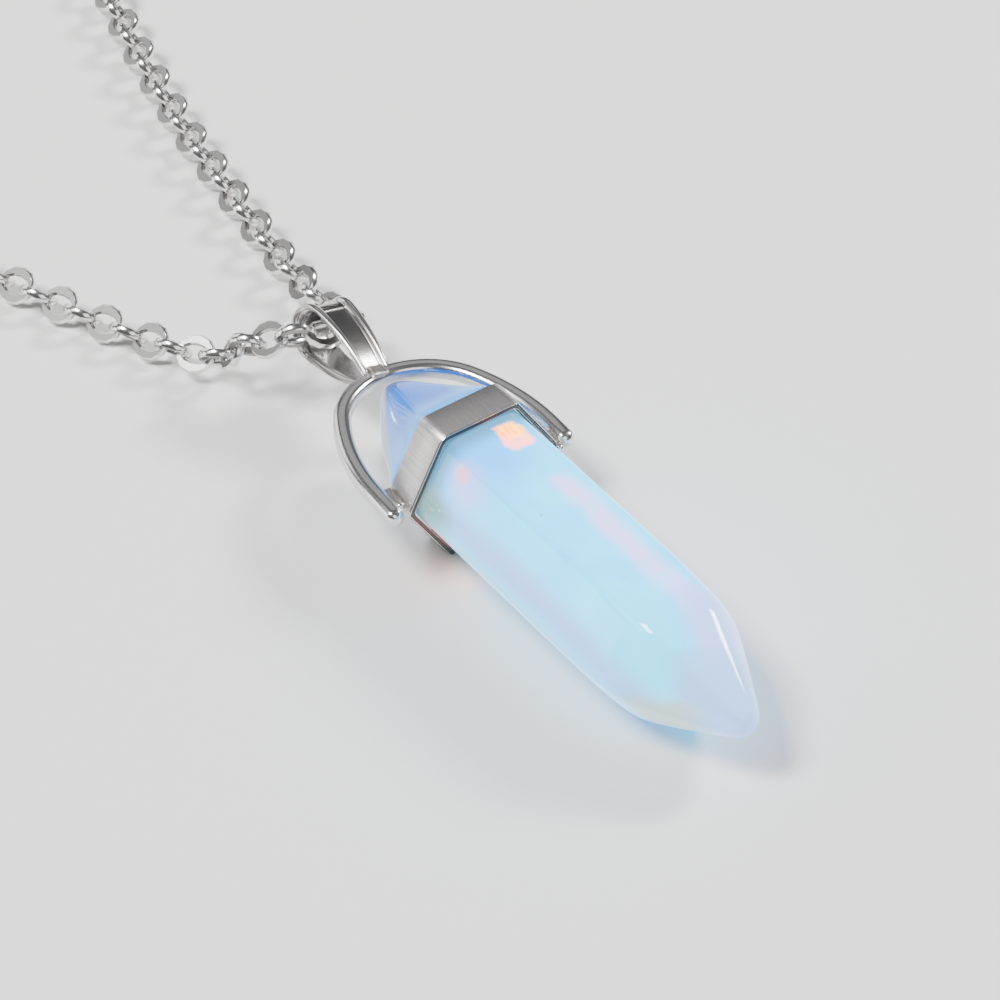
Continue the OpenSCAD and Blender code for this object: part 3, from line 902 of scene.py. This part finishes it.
class PENDANT_OT_solder(bpy.types.Operator):
    """Models the solder that holds the bail on the loop and the loop's legs on the collar"""
    bl_idname = "pendant.solder"
    bl_label = "Solder"

    # Sizes of the lumps and beads, in millimetres
    CROWN_LUMP, LEG_LUMP, BEAD_RADIUS = (0.94, 0.86, 0.46), (0.66, 1.3, 0.4), 0.25
    # The crown's lump lies this far past the crown of the loop and above its middle
    CROWN_PLACE = (0, 0.02, 0.4)
    # The lumps and beads of the legs lie this far in from the legs and along them
    LUMP_INSET, LUMP_PLACE = 0.55, 0.05
    BEAD_INSET, BEAD_PLACE = 0.65, -0.7

    def execute(self, context):
        bail, loop = context.scene.pendant_bail, context.scene.pendant_loop
        rough = silver("Solder", 0.26, (0.62, 0.58, 0.54), grain=0.6)
        beads = silver("Solder bead", 0.16, (0.8, 0.8, 0.8))
        past, above = self.CROWN_PLACE[1:]
        crown = (LAID @ Matrix.Translation(Vector((0, loop.reach + past, 0)) * MM)
                 @ Matrix.Rotation(bail.roll, 4, "Y") @ Matrix.Translation(Vector((0, 0, above)) * MM))
        turned = LAID @ Matrix.Rotation(-loop.skew, 4, "Z") @ Matrix.Rotation(loop.roll, 4, "Y")
        pieces = [(lump("crown_solder", self.CROWN_LUMP, 3, 0.05, crown), rough)]
        for name, side, seed in (("left_solder", -1, 5), ("right_solder", 1, 8)):
            inset = Vector((side * (loop.half - self.LUMP_INSET), self.LUMP_PLACE, 0))
            place = turned @ Matrix.Translation(inset * MM)
            pieces.append((lump(name, self.LEG_LUMP, seed, 0.03, place), rough))
            deselect_everything()
            bpy.ops.mesh.primitive_uv_sphere_add(segments=20, ring_count=12, radius=self.BEAD_RADIUS * MM)
            bead = named(name.replace("solder", "bead"))
            bpy.ops.object.shade_smooth()
            inset = Vector((side * (loop.half - self.BEAD_INSET), self.BEAD_PLACE, 0))
            bead.matrix_world = turned @ Matrix.Translation(inset * MM)
            pieces.append((bead, beads))
        for piece, material in pieces:
            settle(piece, Matrix.Identity(4), material, "polished_silver", "setting")
        return {"FINISHED"}


def curve_through(route, steps=12):
    """Points on the smooth curve through a route's points, each with its roll as a fourth number."""
    points = [Vector(p) for p in route]
    last = len(points) - 1
    curve = []
    for i in range(last):
        a, b, c, d = points[max(i - 1, 0)], points[i], points[i + 1], points[min(i + 2, last)]
        for k in range(steps):
            t = k / steps
            curve.append(0.5 * (2 * b + (c - a) * t + (2 * a - 5 * b + 4 * c - d) * t ** 2
                                + (3 * b - a - 3 * c + d) * t ** 3))
    return curve + [points[last]]


class Track:
    """A curve that gives its place and roll at a length from its start."""

    def __init__(self, curve):
        self.curve = curve
        self.lengths = [0.0]
        for a, b in zip(curve, curve[1:]):
            self.lengths.append(self.lengths[-1] + (b.xyz - a.xyz).length)

    def at(self, length):
        low, high = 0, len(self.lengths) - 1
        while high - low > 1:
            half = (low + high) // 2
            if self.lengths[half] <= length:
                low = half
            else:
                high = half
        share = (length - self.lengths[low]) / (self.lengths[high] - self.lengths[low])
        return self.curve[low].lerp(self.curve[high], share)

    def nearest(self, point):
        best = min(range(len(self.curve)), key=lambda i: (self.curve[i].xyz - Vector(point)).length)
        low, high = max(best - 1, 0), min(best + 1, len(self.curve) - 1)
        run = self.curve[high].xyz - self.curve[low].xyz
        return self.lengths[low] + (Vector(point) - self.curve[low].xyz).dot(run.normalized())


def evenly(start, end, count):
    return [start + (end - start) * k / count for k in range(count)]


class PENDANT_OT_chain(bpy.types.Operator):
    """Models one flat link and lays copies of it, each turned a quarter from the next, along the route"""
    bl_idname = "pendant.chain"
    bl_label = "Chain"

    # Place of each end ring along X, the line that both stand on, and how high they clear the table
    RINGS = (("eye_ring", -7.0), ("claw_ring", 6.42))
    RING_LINE, RING_LIFT = 203.3, 0.01

    def link(self, s):
        """One oval link with flat faces and rounded rims, in the plane of X and Y."""
        deselect_everything()
        bpy.ops.mesh.primitive_circle_add(vertices=12, radius=s.link_length / 2 * MM, fill_type="NOTHING")
        link = named("link")
        start_edit()
        # Length, width and height of each ring of the section, from the outside over the top to the inside
        # and back
        rings = (
            (s.link_length, s.link_width, 0), (s.link_length - 2 * s.rim, s.link_width - 2 * s.rim, 1),
            (s.hole_length + 2 * s.rim, s.hole_width + 2 * s.rim, 1), (s.hole_length, s.hole_width, 0),
            (s.hole_length + 2 * s.rim, s.hole_width + 2 * s.rim, -1),
            (s.link_length - 2 * s.rim, s.link_width - 2 * s.rim, -1), (s.link_length, s.link_width, 0))
        everything()
        stretch((1, s.link_width / s.link_length, 1))
        for here, there in zip(rings, rings[1:]):
            pull((0, 0, (there[2] - here[2]) * s.thickness / 2 * MM))
            stretch((there[0] / here[0], there[1] / here[1], 1))
        end_edit()
        outward(link)
        # The flats get a far darker silver than the rims, as painted shade
        link.data.materials.append(silver("Link flats", 0.26, (0.26, 0.257, 0.255)))
        link.data.materials.append(silver("Link rims", 0.12, (0.86, 0.85, 0.84)))
        start_edit(link)
        assign(1, lambda f: abs(f.normal.z) < 0.9)
        end_edit()
        smooth(link, 59)
        return link

    def execute(self, context):
        s = context.scene.pendant_chain
        link = self.link(s)
        track = Track(curve_through(CHAIN_ROUTE))
        # Joints between links, set so that the two named links lie where they should
        start, end = START_INSET, track.lengths[-1] - END_INSET
        left = track.nearest(LEFT_LINK) - s.pitch / 2
        right = track.nearest(RIGHT_LINK) + s.pitch / 2
        before = round((left - start) / s.pitch)
        between = 2 * round((right - left) / s.pitch / 2)
        after = round((end - right) / s.pitch)
        joints = [track.at(length) for length in
                  (*evenly(start, left, before), *evenly(left, right, between), *evenly(right, end, after),
                   end)]
        copies = []
        for index, (here, there) in enumerate(zip(joints, joints[1:])):
            along = (there.xyz - here.xyz).normalized()
            side = Vector((0, 0, 1)).cross(along).normalized()
            up = along.cross(side)
            roll = radians((here.w + there.w) / 2 + 90 * ((index - before) % 2) + s.wobble * sin(2.3 * index))
            normal = cos(roll) * up + sin(roll) * side
            turned = Matrix((along, normal.cross(along), normal)).transposed().to_4x4()
            centre = (here.xyz + there.xyz) / 2 + Vector((0, COLLAR_PLACE_Y, 0))
            copy = link.copy()
            copy.data = link.data.copy()
            context.collection.objects.link(copy)
            copy.matrix_world = Matrix.Translation(centre * MM) @ turned
            copies.append(copy)
        bpy.data.objects.remove(link)
        deselect_everything()
        for copy in copies:
            copy.select_set(True)
        context.view_layer.objects.active = copies[0]
        bpy.ops.object.join()
        chain = named("chain_links")
        settle(chain, Matrix.Identity(4), None, "chain_silver", "chain")
        # A ring stands upright at each end and joins the chain to the clasp
        wire = s.ring_wire / 2
        height = s.ring_radius + wire + self.RING_LIFT
        for name, x in self.RINGS:
            deselect_everything()
            bpy.ops.mesh.primitive_torus_add(
                major_segments=40, minor_segments=12, major_radius=s.ring_radius * MM, minor_radius=wire * MM,
                location=(x * MM, (COLLAR_PLACE_Y + self.RING_LINE) * MM, height * MM),
                rotation=(radians(90), 0, 0))
            ring = named(name)
            bpy.ops.object.shade_smooth()
            metal = silver("Ring silver", 0.14, (0.78, 0.77, 0.76))
            settle(ring, Matrix.Identity(4), metal, "chain_silver", "chain")
        return {"FINISHED"}


class PENDANT_OT_clasp(bpy.types.Operator):
    """Rounds off a copy of the clasp's plain plate"""
    bl_idname = "pendant.clasp"
    bl_label = "Clasp"

    # Places along X where the clasp is cut, in millimetres. It is thin past the first and the last
    CUTS = (-4.7, -3.7, 4.9, 5.6)

    def execute(self, context):
        s = context.scene.pendant_clasp
        plate = NODES["clasp"]
        clasp = plate.copy()
        clasp.data = plate.data.copy()
        clasp.parent = None
        for key in list(clasp.keys()):
            if key.startswith("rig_"):
                del clasp[key]
        context.collection.objects.link(clasp)
        take(clasp)
        clasp.name = clasp.data.name = "clasp_body"
        clasp.data.materials.clear()
        outward(clasp)
        start_edit(clasp)
        everything()
        bpy.ops.mesh.dissolve_limited(angle_limit=radians(2))
        # The eye and the front of the claw are thinner, so that the end rings can pass under them
        for x in self.CUTS:
            everything()
            bpy.ops.mesh.bisect(plane_co=(x * MM, 0, 0), plane_no=(1, 0, 0))
        first, last = (self.CUTS[0] + 0.01) * MM, (self.CUTS[-1] - 0.01) * MM
        for thin in (lambda v: v.co.x < first, lambda v: v.co.x > last):
            pick("verts", thin)
            stretch((1, 1, s.thin_share), (0, 0, s.thin_height * MM))
        end_edit()
        modify(clasp, "BEVEL", width=s.rim * MM, segments=3, limit_method="ANGLE", angle_limit=radians(60))
        smooth(clasp, 40)
        settle(clasp, Matrix.Identity(4), silver("Clasp silver", 0.14), "polished_silver", "clasp")
        return {"FINISHED"}


class PENDANT_OT_camera(bpy.types.Operator):
    """Adds the camera at the photograph's viewing angle"""
    bl_idname = "pendant.camera"
    bl_label = "Camera"

    def execute(self, context):
        deselect_everything()
        bpy.ops.object.camera_add(
            location=(-0.090772, -0.240122, 0.151792),
            rotation=(radians(49.231), radians(3.187), radians(-34.52)))
        camera = context.object
        camera.name = "photo_camera"
        camera.data.lens = 162
        camera.data.sensor_width = 36
        camera.data.clip_start, camera.data.clip_end = 0.01, 10
        context.scene.camera = camera
        return {"FINISHED"}


class PENDANT_OT_stage(bpy.types.Operator):
    """Lays the plain pale floor and hangs the soft lights"""
    bl_idname = "pendant.stage"
    bl_label = "Stage"

    LIGHTS = (
        # name, place, size, power; all of them aim at the pendant
        ("key_light", (-0.22, -0.02, 0.44), 0.16, 4.4),
        ("left_light", (-0.37, 0.09, 0.33), 0.17, 0.36),
        ("low_light", (-0.38, 0.2, 0.08), 0.16, 0.3),
        ("right_light", (0.38, -0.15, 0.3), 0.12, 3.4),
        ("back_light", (-0.1, 0.37, 0.16), 0.25, 0.4),
        ("front_light", (-0.05, -0.6, 0.35), 0.4, 1.0),
        ("panel_light", (0.2, 0.23, 0.34), 0.2, 0.05),
    )
    AIM = Vector((0, -0.095, 0.005))

    def execute(self, context):
        s = context.scene.pendant_stage
        deselect_everything()
        bpy.ops.mesh.primitive_plane_add(size=4, location=(0, 0, -0.00001))
        floor = named("floor")
        recipe = Recipe("Pale floor")
        grain = recipe.noise(recipe.millimetres(), 0.8, 4.0)
        colour = tuple(s.floor_colour)
        floor.data.materials.append(recipe.finish(
            Base_Color=recipe.blend(grain, colour, tuple(0.97 * c for c in colour)), Roughness=0.7))
        for name, place, size, power in self.LIGHTS:
            bpy.ops.object.light_add(type="AREA", location=place)
            light = context.object
            light.name = name
            light.rotation_euler = (self.AIM - Vector(place)).to_track_quat("-Z", "Y").to_euler()
            light.data.size = size
            light.data.energy = power
        world = bpy.data.worlds.new("Studio")
        context.scene.world = world
        world.use_nodes = True
        world.node_tree.nodes["Background"].inputs["Color"].default_value = (0.8, 0.82, 0.85, 1)
        world.node_tree.nodes["Background"].inputs["Strength"].default_value = 0.15
        return {"FINISHED"}


class PENDANT_PT_panel(bpy.types.Panel):
    """Lists the pieces of the pendant"""
    bl_label = "Crystal point pendant"
    bl_idname = "PENDANT_PT_panel"
    bl_space_type = "VIEW_3D"
    bl_region_type = "UI"
    bl_category = "Pendant"

    def draw(self, context):
        for operator in OPERATORS:
            self.layout.operator(operator.bl_idname)
        for name, group in SETTINGS.items():
            box = self.layout.box()
            box.label(text=name.replace("_", " "))
            for key in group.__annotations__:
                box.prop(getattr(context.scene, name), key)


OPERATORS = (
    PENDANT_OT_camera, PENDANT_OT_stone, PENDANT_OT_collar, PENDANT_OT_loop,
    PENDANT_OT_bail, PENDANT_OT_solder, PENDANT_OT_chain, PENDANT_OT_clasp, PENDANT_OT_stage,
)
SETTINGS = {
    "pendant_stone": StoneSettings, "pendant_collar": CollarSettings, "pendant_loop": LoopSettings,
    "pendant_bail": BailSettings, "pendant_chain": ChainSettings, "pendant_clasp": ClaspSettings,
    "pendant_stage": StageSettings,
}


def register():
    for group in (*SETTINGS.values(), *OPERATORS, PENDANT_PT_panel):
        bpy.utils.register_class(group)
    for name, group in SETTINGS.items():
        setattr(bpy.types.Scene, name, PointerProperty(type=group))


def unregister():
    for name in SETTINGS:
        delattr(bpy.types.Scene, name)
    for group in reversed((*SETTINGS.values(), *OPERATORS, PENDANT_PT_panel)):
        bpy.utils.unregister_class(group)


def main():
    register()
    bpy.ops.pendant.camera()
    bpy.ops.pendant.stone()
    bpy.ops.pendant.collar()
    bpy.ops.pendant.loop()
    bpy.ops.pendant.bail()
    bpy.ops.pendant.solder()
    bpy.ops.pendant.chain()
    bpy.ops.pendant.clasp()
    bpy.ops.pendant.stage()


if __name__ == "__main__":
    main()
